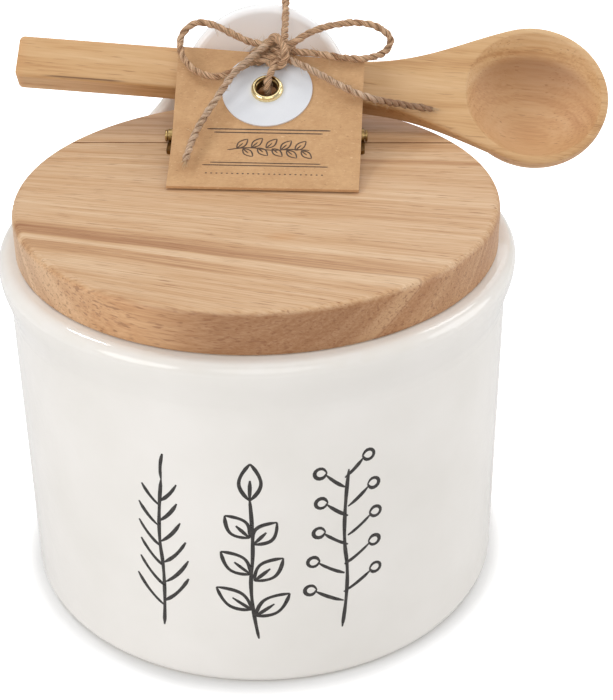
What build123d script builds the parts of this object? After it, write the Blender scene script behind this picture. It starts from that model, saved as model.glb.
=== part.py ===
from build123d import *
import math
import os

# A ceramic salt jar with a hinged wooden lid. A wooden spoon and a card tag are tied
# to its hanging tab with jute twine. Millimetres, +Z up, the origin at the centre of
# the jar's base. The hanging tab is at +Y, and the lid opens away from -Y.

# ---- jar ----
BODY_R = 51.9
WALL = 4.6
FLOOR_T = 5.0
RIM_Z = 78.0
BEAD_START_Z = 66.0
BEAD_OUT = 1.8
BEAD_ROUND = 2.5
MOUTH_ROUND = 0.6
INNER_ROUND = 5.0
BASE_ROUND = 2.5

# ---- hanging tab ----
TAB_T = 3.4
TAB_TOP_Z = 109.6
TAB_R = 19.3
TAB_BREAK_DEG = 26.5
TAB_FOOT_HALF = 43.0
TAB_EDGE_ROUND = 1.5
TAB_LID_GAP = 0.3
HOLE_D = 9.0
HOLE_DROP = 13.6
HOLE_ROUND = 0.8

# ---- lid ----
LID_T = 9.2
LID_SEAT = 0.1
LID_TOP_ROUND = 1.5
LID_BOTTOM_ROUND = 0.6
PLUG_GAP = 1.0
PLUG_D = 2.5
KERF = 0.5

# ---- hinge ----
HINGE_X = 1.0
HINGE_Y = 25.4
HINGE_L = 43.0
LEAF_W = 6.3
LEAF_T = 0.8
LEAF_CORNER = 0.8
BARREL_D = 3.0
BARREL_LIFT = 0.15
KNUCKLES = 5
KNUCKLE_GAP = 0.15
LEAF_PLAY = 0.2
PIN_D = 1.5
PIN_PLAY = 0.05
PIN_HEAD_D = 2.6
PIN_HEAD_T = 0.5
SCREW_SPREAD = 27.0
SCREW_Y = 4.0
SCREW_D = 1.8
SCREW_HEAD_D = 3.4
SCREW_L = 6.5
SCREW_PLAY = 0.03
SCREW_TURN_DEG = 25.0
SLOT_W = 0.5
SLOT_D = 0.45

# ---- spoon ----
SPOON_X = -54.7
SPOON_FROM_TAB = 12.27
SPOON_OVER_LID = 15.63
SPOON_YAW_DEG = -1.05
SPOON_SLOPE_DEG = 4.2
SPOON_LEAN_DEG = 41.0
SPOON_L = 131.9
HANDLE_W = 10.0
HANDLE_T = 6.5
HANDLE_END_ROUND = 1.2
BOWL_R = 16.7
FLARE_L = 42.0
FLARE_DEG = 109.0
TAPER_L = 42.0
TAPER_BEFORE = 5.0
BOWL_RIM_T = 1.8
BOWL_D = 11.0
BOWL_TURN_R = 5.0
HOLLOW_R = 15.2
HOLLOW_D = 7.5
SPOON_EDGE = 0.8
HOLLOW_EDGE = 0.5

# ---- tag ----
TAG_X = 1.15
TAG_Y = 0.2
TAG_YAW_DEG = -2.6
TAG_LIFT = 0.3
CARD_T = 0.6
CARD_BOTTOM_HALF = 19.9
CARD_TOP_LEFT = 21.4
CARD_TOP_RIGHT = 19.7
CARD_LEFT_H = 40.6
CARD_RIGHT_H = 37.2
CARD_LOW_DEG = 14.0
CARD_HIGH_DEG = 30.0
CARD_FLAT = 8.0
CARD_CURL = 12.0
DISC_X = -1.0
DISC_S = 28.8
DISC_R = 9.8
DISC_T = 0.35
EYELET_IN_D = 4.2
EYELET_WALL = 0.25
EYELET_FLANGE = 1.43
EYELET_H = 1.0
EYELET_BACK_FLANGE = 1.0
EYELET_BACK_T = 0.35
EYELET_FIT = 0.05

# ---- twine ----
TWINE_D = 2.0
ARC_SHARE = 0.45
KNOT_ON_CARD = (1.56, 37.56, 2.5)
KNOT_SIZE = (3.0, 2.3, 1.95)
HANGER_TOP = (4.8, 51.0, 110.6)
BACK_KNOT_AT = (2.6, 57.0, 95.4)
BACK_KNOT_SIZE = (2.4, 2.2, 3.2)

# Routes of the twine, each a list of points chosen by hand.
LOOP_LEFT = [
    (1.7, 33.9, 106.6), (-1.2, 34.6, 106.6), (-4.6, 35.6, 107.5), (-8.4, 36.8, 109.2),
    (-12.8, 37.8, 110.7), (-16.4, 37.3, 109.8), (-18.3, 35.2, 106.9), (-17.0, 31.6, 103.9),
    (-13.7, 28.9, 102.0), (-9.8, 28.0, 101.4), (-6.2, 29.0, 102.2), (-2.7, 31.2, 103.6),
    (1.7, 32.5, 104.6),
]
LOOP_RIGHT = [
    (6.2, 33.7, 106.7), (10.1, 35.0, 109.1), (15.0, 36.2, 110.3), (20.8, 37.3, 110.7),
    (25.6, 37.7, 109.5), (28.6, 37.5, 106.7), (27.2, 35.1, 104.4), (22.5, 31.6, 104.1),
    (16.2, 32.4, 104.4), (10.9, 33.3, 105.2), (6.4, 32.9, 105.4),
]
TAIL_LEFT = [
    (3.9, 31.4, 106.3), (0.6, 29.8, 105.4), (-2.8, 27.9, 104.5), (-6.2, 25.6, 102.9),
    (-9.2, 21.9, 99.2), (-12.2, 17.3, 96.0), (-14.2, 12.2, 93.4), (-15.1, 6.0, 91.4),
]
TAIL_RIGHT = [
    (5.9, 31.5, 104.2), (9.6, 29.5, 103.4), (13.6, 27.1, 102.0), (18.0, 24.4, 100.5),
    (22.4, 22.9, 99.1), (26.2, 24.8, 97.3), (29.8, 28.2, 95.3), (33.6, 30.2, 93.8),
    (37.5, 30.4, 93.1),
]
HANGER = [(4.9, 34.3, 106.7), (4.9, 42.6, 109.0), HANGER_TOP]
# The tie is written on the card: across it, up it and out from its face.
TIE_ON_CARD = [
    (1.0, 35.9, 1.9), (0.2, 33.4, 2.4), (-1.0, 28.8, 2.6), (-1.0, 28.8, -2.1),
    (-0.7, 33.4, -2.3), (-0.2, 40.3, -2.1), (0.3, 39.9, 1.9),
]
WRAP = [
    (4.8, 52.4, 110.6), (4.7, 55.3, 110.7), (4.4, 56.0, 108.0), (3.6, 56.0, 103.0),
    (2.5, 56.0, 98.0), (2.4, 50.6, 97.7), (5.2, 45.6, 100.1), (6.6, 40.9, 104.0),
    (7.0, 36.0, 99.7), (7.0, 31.0, 95.4), (7.0, 34.2, 91.5), (6.6, 37.3, 88.4),
    (4.4, 43.6, 91.4), (2.4, 49.6, 94.1), (2.4, 56.4, 94.2),
]
WRAP_RADII = [1.3, 1.3, 8.0, 2.2, 3.0, 6.0, 2.2, 20.0, 2.2, 10.0, 2.2, 10.0, 6.0]

MOUTH_R = BODY_R - WALL
BEAD_R = BODY_R + BEAD_OUT
BEAD_Z = RIM_Z - BEAD_ROUND
TAB_IN_R = BEAD_R - TAB_T
TAB_MID_Y = (TAB_IN_R + BEAD_R) / 2
HOLE_Z = TAB_TOP_Z - HOLE_DROP
LID_R = TAB_IN_R - TAB_LID_GAP
LID_Z = RIM_Z + LID_SEAT
LID_TOP_Z = LID_Z + LID_T
PLUG_R = MOUTH_R - PLUG_GAP
BARREL_R = BARREL_D / 2
PIN_R = PIN_D / 2
PIN_UP = BARREL_R + BARREL_LIFT
HINGE_AT = (HINGE_X, HINGE_Y, LID_TOP_Z)
SPOON_AT = (SPOON_X, TAB_IN_R - SPOON_FROM_TAB, LID_TOP_Z + SPOON_OVER_LID)
BOWL_X = SPOON_L - BOWL_R
FLARE_START = BOWL_X - FLARE_L
TAPER_END = BOWL_X - TAPER_BEFORE
TAPER_START = TAPER_END - TAPER_L
FAR = 200.0


def half_space(y_from, y_to):
    """A large block between two Y values, to cut the lid along its seam."""
    middle = (y_from + y_to) / 2
    return Pos(0, middle, RIM_Z) * Box(FAR, y_to - y_from, FAR)


# ---------------------------------------------------------------- jar
def jar_body():
    with BuildPart() as body:
        with BuildSketch(Plane.XZ):
            with BuildLine():
                Line((0, 0), (BODY_R - BASE_ROUND, 0))
                TangentArc((BODY_R - BASE_ROUND, 0), (BODY_R, BASE_ROUND), tangent=(1, 0))
                Line((BODY_R, BASE_ROUND), (BODY_R, BEAD_START_Z))
                Spline((BODY_R, BEAD_START_Z), (BEAD_R, BEAD_Z), tangents=((0, 1), (0, 1)))
                TangentArc((BEAD_R, BEAD_Z), (BEAD_R - BEAD_ROUND, RIM_Z), tangent=(0, 1))
                Line((BEAD_R - BEAD_ROUND, RIM_Z), (MOUTH_R + MOUTH_ROUND, RIM_Z))
                TangentArc((MOUTH_R + MOUTH_ROUND, RIM_Z), (MOUTH_R, RIM_Z - MOUTH_ROUND), tangent=(-1, 0))
                Line((MOUTH_R, RIM_Z - MOUTH_ROUND), (MOUTH_R, FLOOR_T + INNER_ROUND))
                TangentArc((MOUTH_R, FLOOR_T + INNER_ROUND), (MOUTH_R - INNER_ROUND, FLOOR_T), tangent=(0, -1))
                Polyline((MOUTH_R - INNER_ROUND, FLOOR_T), (0, FLOOR_T), (0, 0))
            make_face()
        revolve(axis=Axis.Z)
    return body.part


def long_edges(shape, length, above):
    """The edges longer than a length whose middle stands above a height."""
    return [e for e in shape.edges() if e.length > length and e.bounding_box().center().Z > above]


def hanging_tab():
    """The arch that rises from the back of the rim, with its hanging hole."""
    angle = math.radians(TAB_BREAK_DEG)
    centre_z = TAB_TOP_Z - TAB_R
    side = (TAB_R * math.cos(angle), centre_z + TAB_R * math.sin(angle))
    left = (-side[0], side[1])
    with BuildPart() as arch:
        with BuildSketch(Plane.XZ):
            with BuildLine():
                CenterArc((0, centre_z), TAB_R, TAB_BREAK_DEG, 180 - 2 * TAB_BREAK_DEG)
                TangentArc(side, (TAB_FOOT_HALF, BEAD_Z), tangent=(math.sin(angle), -math.cos(angle)))
                TangentArc(left, (-TAB_FOOT_HALF, BEAD_Z), tangent=(-math.sin(angle), -math.cos(angle)))
                Line((TAB_FOOT_HALF, BEAD_Z), (-TAB_FOOT_HALF, BEAD_Z))
            make_face()
        extrude(amount=-FAR / 2)
    ring = Cylinder(BEAD_R, FAR, align=(Align.CENTER, Align.CENTER, Align.MIN))
    ring -= Cylinder(TAB_IN_R, FAR, align=(Align.CENTER, Align.CENTER, Align.MIN))
    tab = arch.part & ring
    tab = fillet(long_edges(tab, 2 * TAB_T, BEAD_Z + TAB_EDGE_ROUND), TAB_EDGE_ROUND)
    tab -= Pos(0, TAB_MID_Y, HOLE_Z) * Rot(90, 0, 0) * Cylinder(HOLE_D / 2, BEAD_R)
    rims = [
        e for e in long_edges(tab, 2 * HOLE_D, 0)
        if (e.bounding_box().center() - Vector(0, TAB_MID_Y, HOLE_Z)).length < HOLE_D / 2
    ]
    return fillet(rims, HOLE_ROUND)


def jar():
    return jar_body() + hanging_tab()


# ---------------------------------------------------------------- lid
def screw_places(side):
    """Where the screws of one hinge leaf stand, measured from the hinge."""
    return [(x, side * SCREW_Y, 0) for x in (-SCREW_SPREAD / 2, SCREW_SPREAD / 2)]


def lid_blank():
    disc = Pos(0, 0, LID_Z) * Cylinder(LID_R, LID_T, align=(Align.CENTER, Align.CENTER, Align.MIN))
    disc = fillet(disc.edges().group_by(Axis.Z)[-1], LID_TOP_ROUND)
    disc = fillet(disc.edges().group_by(Axis.Z)[0], LID_BOTTOM_ROUND)
    plug = Pos(0, 0, LID_Z) * Cylinder(PLUG_R, PLUG_D, align=(Align.CENTER, Align.CENTER, Align.MAX))
    plug = fillet(plug.edges().group_by(Axis.Z)[0], LID_BOTTOM_ROUND)
    return disc + plug


def pilot_holes(side):
    hole = Cylinder(SCREW_D / 2 + SCREW_PLAY, 2 * (SCREW_L - LEAF_T) + 2 * SCREW_PLAY)
    return [Pos(*HINGE_AT) * Pos(*place) * hole for place in screw_places(side)]


def lid_rear():
    return (lid_blank() & half_space(HINGE_Y + KERF / 2, FAR)) - pilot_holes(1)


def lid_flap():
    return (lid_blank() & half_space(-FAR, HINGE_Y - KERF / 2)) - pilot_holes(-1)


# ---------------------------------------------------------------- hinge
def along_x(radius, length):
    return Rot(0, 90, 0) * Cylinder(radius, length)


def hinge_leaf(side, turns):
    """One leaf: side is 1 for the rear and -1 for the front, turns names its knuckles."""
    pitch = HINGE_L / KNUCKLES
    clear = BARREL_R + LEAF_PLAY
    plate_w = LEAF_W - clear
    base = (Align.CENTER, Align.MIN, Align.MIN)
    plate = Pos(0, clear, 0) * Box(HINGE_L, plate_w, LEAF_T, align=base)
    corners = plate.edges().filter_by(Axis.Z).group_by(Axis.Y)[-1]
    leaf = fillet(corners, LEAF_CORNER)
    for i in turns:
        x = (i - (KNUCKLES - 1) / 2) * pitch
        length = pitch - KNUCKLE_GAP
        tongue = Pos(x, BARREL_R / 2, 0) * Box(length, clear, LEAF_T, align=base)
        knuckle = Pos(x, 0, PIN_UP) * along_x(BARREL_R, length)
        leaf = leaf + tongue + knuckle
    sink = Cone(SCREW_D / 2 + 2 * SCREW_PLAY, SCREW_HEAD_D / 2 + 2 * SCREW_PLAY, LEAF_T)
    for x, y, _ in screw_places(1):
        leaf -= Pos(x, y, LEAF_T / 2) * sink
    leaf -= Pos(0, 0, PIN_UP) * along_x(PIN_R + PIN_PLAY, 2 * HINGE_L)
    if side < 0:
        leaf = mirror(leaf, Plane.XZ)
    return Pos(*HINGE_AT) * leaf


def hinge_pin():
    shaft_l = HINGE_L + 2 * KNUCKLE_GAP
    pin = along_x(PIN_R, shaft_l)
    for end in (-1, 1):
        x = end * (shaft_l + PIN_HEAD_T) / 2
        head = Pos(x, 0, 0) * along_x(PIN_HEAD_D / 2, PIN_HEAD_T)
        outer = head.edges().group_by(Axis.X)[-1 if end > 0 else 0]
        pin += fillet(outer, PIN_HEAD_T / 2)
    return Pos(*HINGE_AT) * Pos(0, 0, PIN_UP) * pin


def wood_screw():
    """A countersunk screw with its head's top at z = 0 and its point down."""
    r = SCREW_D / 2
    head_r = SCREW_HEAD_D / 2
    with BuildPart() as screw:
        with BuildSketch(Plane.XZ):
            with BuildLine():
                Polyline(
                    (0, 0), (head_r, 0), (r, -LEAF_T), (r, r - SCREW_L), (0, -SCREW_L), (0, 0)
                )
            make_face()
        revolve(axis=Axis.Z)
    slot = Box(SCREW_HEAD_D * 2, SLOT_W, SLOT_D, align=(Align.CENTER, Align.CENTER, Align.MAX))
    return screw.part - slot


def leaf_screws(side):
    screw = wood_screw()
    pair = []
    for turns, place in enumerate(screw_places(side), start=1):
        turn = Rot(0, 0, turns * side * SCREW_TURN_DEG)
        pair.append(Pos(*HINGE_AT) * Pos(*place) * Pos(0, 0, LEAF_T) * turn * screw)
    return Compound(children=pair)


# ---------------------------------------------------------------- spoon
def spoon_plane():
    """The plane of the spoon's broad face: X runs to the bowl, Z out of the face."""
    yaw = math.radians(SPOON_YAW_DEG)
    slope = math.radians(SPOON_SLOPE_DEG)
    lean = math.radians(SPOON_LEAN_DEG)
    along = Vector(math.cos(yaw) * math.cos(slope), math.sin(yaw) * math.cos(slope), -math.sin(slope))
    face = Vector(0, -math.sin(lean), math.cos(lean))
    out = face - along * face.dot(along)
    return Plane(origin=SPOON_AT, x_dir=along, z_dir=out)


def spoon_outline():
    half = HANDLE_W / 2
    angle = math.radians(FLARE_DEG)
    meet = (BOWL_X + BOWL_R * math.cos(angle), BOWL_R * math.sin(angle))
    leave = (math.sin(angle), -math.cos(angle))
    with BuildSketch() as plan:
        with BuildLine():
            Line((FLARE_START, half), (HANDLE_END_ROUND, half))
            TangentArc((HANDLE_END_ROUND, half), (0, half - HANDLE_END_ROUND), tangent=(-1, 0))
            Line((0, half - HANDLE_END_ROUND), (0, HANDLE_END_ROUND - half))
            TangentArc((0, HANDLE_END_ROUND - half), (HANDLE_END_ROUND, -half), tangent=(0, -1))
            Line((HANDLE_END_ROUND, -half), (FLARE_START, -half))
            Spline((FLARE_START, -half), (meet[0], -meet[1]), tangents=((1, 0), (leave[0], -leave[1])))
            CenterArc((BOWL_X, 0), BOWL_R, -FLARE_DEG, 2 * FLARE_DEG)
            Spline((FLARE_START, half), meet, tangents=((1, 0), leave))
        make_face()
    return plan.sketch


def spoon_side():
    """The side view of the handle, which thins towards the bowl's rim."""
    past = HANDLE_T
    far = SPOON_L + past
    with BuildSketch(Plane.XZ) as side:
        with BuildLine():
            Polyline((TAPER_START, -HANDLE_T), (-past, -HANDLE_T), (-past, 0), (far, 0))
            Polyline((far, 0), (far, -BOWL_RIM_T), (TAPER_END, -BOWL_RIM_T))
            Spline((TAPER_START, -HANDLE_T), (TAPER_END, -BOWL_RIM_T), tangents=((1, 0), (1, 0)))
        make_face()
    return side.sketch


def spoon_bowl():
    """The rounded underside of the bowl: a flat dome that turns up tightly to the rim."""
    drop = BOWL_D - BOWL_RIM_T
    dome_r = ((BOWL_R - BOWL_TURN_R) ** 2 + drop**2 - BOWL_TURN_R**2) / (2 * (drop - BOWL_TURN_R))
    dome_at = Vector(0, dome_r - BOWL_D)
    turn_at = Vector(BOWL_R - BOWL_TURN_R, -BOWL_RIM_T)
    meet = dome_at + (turn_at - dome_at).normalized() * dome_r
    with BuildPart() as bowl:
        with BuildSketch(Plane.XZ):
            with BuildLine():
                TangentArc((BOWL_R, -BOWL_RIM_T), (meet.X, meet.Y), tangent=(0, -1))
                TangentArc((0, -BOWL_D), (meet.X, meet.Y), tangent=(1, 0))
                Polyline((BOWL_R, -BOWL_RIM_T), (0, -BOWL_RIM_T), (0, -BOWL_D))
            make_face()
        revolve(axis=Axis.Z)
    return Pos(BOWL_X, 0, 0) * bowl.part


def spoon():
    plate = extrude(spoon_outline(), amount=-HANDLE_T)
    plate = fillet(plate.edges().group_by(Axis.Z)[0], SPOON_EDGE)
    plate &= extrude(spoon_side(), amount=FAR / 2, both=True)
    ball_r = (HOLLOW_R**2 + HOLLOW_D**2) / (2 * HOLLOW_D)
    body = plate + spoon_bowl()
    body = fillet(body.edges().group_by(Axis.Z)[-1], SPOON_EDGE)
    body -= Pos(BOWL_X, 0, ball_r - HOLLOW_D) * Sphere(ball_r)
    rim = body.edges().filter_by(GeomType.CIRCLE).group_by(Axis.Z)[-1]
    body = fillet([e for e in rim if abs(e.radius - HOLLOW_R) < SPOON_EDGE], HOLLOW_EDGE)
    return spoon_plane().location * body


# ---------------------------------------------------------------- tag
def card_point(up):
    """How far back and up the card's face is, and its slope, at a distance up the card."""
    low = math.radians(CARD_LOW_DEG)
    high = math.radians(CARD_HIGH_DEG)
    radius = CARD_CURL / (high - low)
    flat = min(up, CARD_FLAT)
    curl = min(max(up - CARD_FLAT, 0), CARD_CURL)
    rest = max(up - CARD_FLAT - CARD_CURL, 0)
    slope = low + curl / radius
    back = flat * math.cos(low) + radius * (math.sin(slope) - math.sin(low)) + rest * math.cos(slope)
    rise = flat * math.sin(low) + radius * (math.cos(low) - math.cos(slope)) + rest * math.sin(slope)
    return back, rise, slope


def on_card(across, up, out):
    """A point given across the card, up it and out from its face, in the tag's own frame."""
    back, rise, slope = card_point(up)
    return Vector(across, back - out * math.sin(slope), rise + out * math.cos(slope))


def tag_place():
    lift = LID_TOP_Z + TAG_LIFT + CARD_T
    return Pos(TAG_X, TAG_Y, lift) * Rot(0, 0, TAG_YAW_DEG)


def card_seat(across, up, out=0.0):
    """A frame that lies on the card's face, with Z out of the card and Y up it."""
    slope = card_point(up)[2]
    at = on_card(across, up, out)
    return Plane(origin=at, x_dir=(1, 0, 0), z_dir=(0, -math.sin(slope), math.cos(slope))).location


def tag_card():
    top = max(CARD_LEFT_H, CARD_RIGHT_H) + CARD_CURL
    bend_1 = CARD_FLAT
    bend_2 = CARD_FLAT + CARD_CURL
    middle = (bend_1 + bend_2) / 2

    def at(up, out):
        p = on_card(0, up, out)
        return (p.Y, p.Z)

    with BuildPart() as sheet:
        with BuildSketch(Plane.YZ):
            with BuildLine():
                for out in (0, -CARD_T):
                    Line(at(0, out), at(bend_1, out))
                    ThreePointArc(at(bend_1, out), at(middle, out), at(bend_2, out))
                    Line(at(bend_2, out), at(top, out))
                Line(at(0, 0), at(0, -CARD_T))
                Line(at(top, 0), at(top, -CARD_T))
            make_face()
        extrude(amount=FAR / 4, both=True)
    back_left = card_point(CARD_LEFT_H)[0]
    back_right = card_point(CARD_RIGHT_H)[0]
    with BuildPart() as cutter:
        with BuildSketch(Plane.XY):
            with BuildLine():
                Polyline(
                    (-CARD_BOTTOM_HALF, -CARD_T), (CARD_BOTTOM_HALF, -CARD_T), (CARD_TOP_RIGHT, back_right),
                    (-CARD_TOP_LEFT, back_left), (-CARD_BOTTOM_HALF, -CARD_T),
                )
            make_face()
        extrude(amount=FAR / 2, both=True)
    card = sheet.part & cutter.part
    hole_r = EYELET_IN_D / 2 + EYELET_WALL + EYELET_FIT
    card -= card_seat(DISC_X, DISC_S) * Cylinder(hole_r, 4 * CARD_T)
    return tag_place() * card


def tag_disc():
    hole_r = EYELET_IN_D / 2 + EYELET_WALL + EYELET_FIT
    disc = Cylinder(DISC_R, DISC_T, align=(Align.CENTER, Align.CENTER, Align.MIN))
    disc -= Cylinder(hole_r, 4 * DISC_T)
    return tag_place() * card_seat(DISC_X, DISC_S) * disc


def tag_eyelet():
    """A rolled brass eyelet through the card and the disc."""
    inner = EYELET_IN_D / 2
    tube = inner + EYELET_WALL
    rim = inner + EYELET_FLANGE
    back_rim = inner + EYELET_BACK_FLANGE
    with BuildPart() as eyelet:
        with BuildSketch(Plane.XZ):
            with BuildLine():
                Line((inner, -CARD_T - EYELET_BACK_T), (inner, DISC_T))
                EllipticalCenterArc(
                    (inner + EYELET_FLANGE / 2, DISC_T), EYELET_FLANGE / 2, EYELET_H, arc_size=180
                )
                Polyline(
                    (rim, DISC_T), (tube, DISC_T), (tube, -CARD_T), (back_rim, -CARD_T),
                    (back_rim, -CARD_T - EYELET_BACK_T), (inner, -CARD_T - EYELET_BACK_T),
                )
            make_face()
        revolve(axis=Axis.Z)
    return tag_place() * card_seat(DISC_X, DISC_S) * eyelet.part


# ---------------------------------------------------------------- twine
def corner_radii(points):
    """The largest arc at each corner: a share of the shorter run over the tangent of half the turn."""
    runs = [Vector(*b) - Vector(*a) for a, b in zip(points, points[1:])]
    radii = []
    for before, after in zip(runs, runs[1:]):
        half_turn = math.radians(before.get_angle(after) / 2)
        radii.append(ARC_SHARE * min(before.length, after.length) / math.tan(half_turn))
    return radii


def twine(name, points, radii=None):
    """A round cord along straight runs and tangent arcs, with its volume checked by length."""
    radii = radii or corner_radii(points)
    path = FilletPolyline(*points, radius=radii)
    section = Plane(origin=path @ 0, z_dir=path % 0) * Circle(TWINE_D / 2)
    cord = sweep(section, path=path)
    expected = math.pi * TWINE_D**2 / 4 * path.length
    shown = ", ".join(f"{r:.1f}" for r in radii)
    print(f"{name}: length {path.length:.1f}, volume / expected {cord.volume / expected:.4f}, radii {shown}")
    return cord


def lump(size):
    """A drawn-up knot: an ellipsoid turned from half an ellipse and squeezed in Y."""
    with BuildPart() as ball:
        with BuildSketch(Plane.XZ):
            with BuildLine():
                EllipticalCenterArc((0, 0), size[0], size[2], 270, arc_size=180)
                Line((0, -size[2]), (0, size[2]))
            make_face()
        revolve(axis=Axis.Z)
    return scale(ball.part, by=(1, size[1] / size[0], 1))


def bow_knot():
    return tag_place() * card_seat(*KNOT_ON_CARD) * lump(KNOT_SIZE)


def wrap_knot():
    return Pos(*BACK_KNOT_AT) * lump(BACK_KNOT_SIZE)


def tag_tie():
    place = tag_place()
    points = [tuple((place * Pos(on_card(*p))).position) for p in TIE_ON_CARD]
    return twine("tag_tie", points)


def bow_hanger():
    """The strand from the knot to the top of the tab, round-ended where it bends."""
    return twine("bow_hanger", HANGER) + Pos(*HANGER_TOP) * Sphere(TWINE_D / 2)


# ---------------------------------------------------------------- the set
PARTS = {
    "jar": jar,
    "lid_rear": lid_rear,
    "lid_flap": lid_flap,
    "hinge_rear_leaf": lambda: hinge_leaf(1, range(0, KNUCKLES, 2)),
    "hinge_front_leaf": lambda: hinge_leaf(-1, range(1, KNUCKLES, 2)),
    "hinge_pin": hinge_pin,
    "rear_leaf_screws": lambda: leaf_screws(1),
    "front_leaf_screws": lambda: leaf_screws(-1),
    "spoon": spoon,
    "tag_card": tag_card,
    "tag_disc": tag_disc,
    "tag_eyelet": tag_eyelet,
    "tag_tie": tag_tie,
    "bow_knot": bow_knot,
    "bow_loop_left": lambda: twine("bow_loop_left", LOOP_LEFT),
    "bow_loop_right": lambda: twine("bow_loop_right", LOOP_RIGHT),
    "bow_tail_left": lambda: twine("bow_tail_left", TAIL_LEFT),
    "bow_tail_right": lambda: twine("bow_tail_right", TAIL_RIGHT),
    "bow_hanger": bow_hanger,
    "spoon_wrap": lambda: twine("spoon_wrap", WRAP, WRAP_RADII),
    "wrap_knot": wrap_knot,
}


def main():
    os.makedirs("parts", exist_ok=True)
    for node, make in PARTS.items():
        export_step(make(), f"parts/{node}.step")


main()
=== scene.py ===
import math
import random

import bpy
from mathutils import Matrix, Vector


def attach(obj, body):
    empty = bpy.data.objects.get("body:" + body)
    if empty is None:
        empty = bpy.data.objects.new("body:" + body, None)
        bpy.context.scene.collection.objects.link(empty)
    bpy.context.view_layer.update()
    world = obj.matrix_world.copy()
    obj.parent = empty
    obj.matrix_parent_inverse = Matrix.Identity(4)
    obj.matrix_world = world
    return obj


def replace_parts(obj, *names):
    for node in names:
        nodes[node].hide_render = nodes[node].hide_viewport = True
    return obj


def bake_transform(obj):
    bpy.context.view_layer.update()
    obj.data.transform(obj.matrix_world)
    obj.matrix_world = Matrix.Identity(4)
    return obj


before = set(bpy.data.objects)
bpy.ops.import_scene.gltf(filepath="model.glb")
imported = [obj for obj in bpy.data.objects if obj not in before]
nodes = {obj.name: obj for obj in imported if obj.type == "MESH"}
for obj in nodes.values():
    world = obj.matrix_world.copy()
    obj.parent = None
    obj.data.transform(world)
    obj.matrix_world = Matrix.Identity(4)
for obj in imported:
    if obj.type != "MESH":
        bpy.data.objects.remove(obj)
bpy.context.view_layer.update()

MM = 0.001

# ---- sizes in millimetres, as in the CAD source ----
BODY_R = 51.9
RIM_Z = 78.0
LID_TOP_Z = 87.3
# The middle of the spoon's bowl, along the spoon.
BOWL_U = 115.2

# ---- the spoon's own frame ----
SPOON_AT = Vector((-54.7, 38.03, 102.93)) * MM
SPOON_YAW = math.radians(-1.05)
SPOON_SLOPE = math.radians(4.2)
SPOON_LEAN = math.radians(41.0)

# ---- the tag's own frame ----
TAG_AT = Vector((1.15, 0.2, 88.2)) * MM
TAG_YAW = math.radians(-2.6)
CARD_LOW = math.radians(14.0)
CARD_HIGH = math.radians(30.0)
CARD_FLAT = 8.0
CARD_CURL = 12.0
DISC_X = -1.0
DISC_S = 28.8

# ---- the twine's routes, in millimetres ----
# On the card, a point is given across it, up it and out from its face.
LOOP_LEFT = [
    (1.7, 33.9, 106.6), (-1.2, 34.6, 106.6), (-4.6, 35.6, 107.5), (-8.4, 36.8, 109.2),
    (-12.8, 37.8, 110.7), (-16.4, 37.3, 109.8), (-18.3, 35.2, 106.9), (-17.0, 31.6, 103.9),
    (-13.7, 28.9, 102.0), (-9.8, 28.0, 101.4), (-6.2, 29.0, 102.2), (-2.7, 31.2, 103.6),
    (1.7, 32.5, 104.6),
]
LOOP_RIGHT = [
    (6.2, 33.7, 106.7), (10.1, 35.0, 109.1), (15.0, 36.2, 110.3), (20.8, 37.3, 110.7),
    (25.6, 37.7, 109.5), (28.6, 37.5, 106.7), (27.2, 35.1, 104.4), (22.5, 31.6, 104.1),
    (16.2, 32.4, 104.4), (10.9, 33.3, 105.2), (6.4, 32.9, 105.4),
]
TAIL_LEFT = [
    (2.1, 33.5, 107.6), (-1.1, 30.7, 106.0), (-3.6, 28.1, 104.6), (-6.2, 25.6, 102.9),
    (-9.2, 21.9, 99.2), (-12.2, 17.3, 96.0), (-14.2, 12.2, 93.4), (-15.1, 6.0, 91.4),
]
TAIL_RIGHT = [
    (5.9, 31.5, 104.2), (9.6, 29.5, 103.4), (13.6, 27.1, 102.0), (18.0, 24.4, 100.5),
    (22.4, 22.9, 99.1), (26.2, 24.8, 97.3), (29.8, 28.2, 95.3), (33.6, 30.2, 93.8),
    (37.5, 30.4, 93.1),
]
HANGER = [(4.9, 34.3, 106.7), (4.9, 42.6, 109.0), (4.8, 51.0, 110.6)]
TIE_ON_CARD = [
    (1.0, 35.9, 1.9), (0.2, 33.4, 2.4), (-1.0, 28.8, 2.6), (-1.0, 28.8, -2.1),
    (-0.7, 33.4, -2.3), (-0.2, 40.3, -2.1), (0.3, 39.9, 1.9),
]
WRAP = [
    (4.8, 52.4, 110.6), (4.7, 55.3, 110.7), (4.4, 56.0, 108.0), (3.6, 56.0, 103.0),
    (2.5, 56.0, 98.0), (2.4, 50.6, 97.7), (5.2, 45.6, 100.1), (6.6, 40.9, 104.0),
    (7.0, 36.0, 99.7), (7.0, 31.0, 95.4), (7.0, 34.2, 91.5), (6.6, 37.3, 88.4),
    (4.4, 43.6, 91.4), (2.4, 49.6, 94.1), (2.4, 56.4, 94.2),
]
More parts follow.
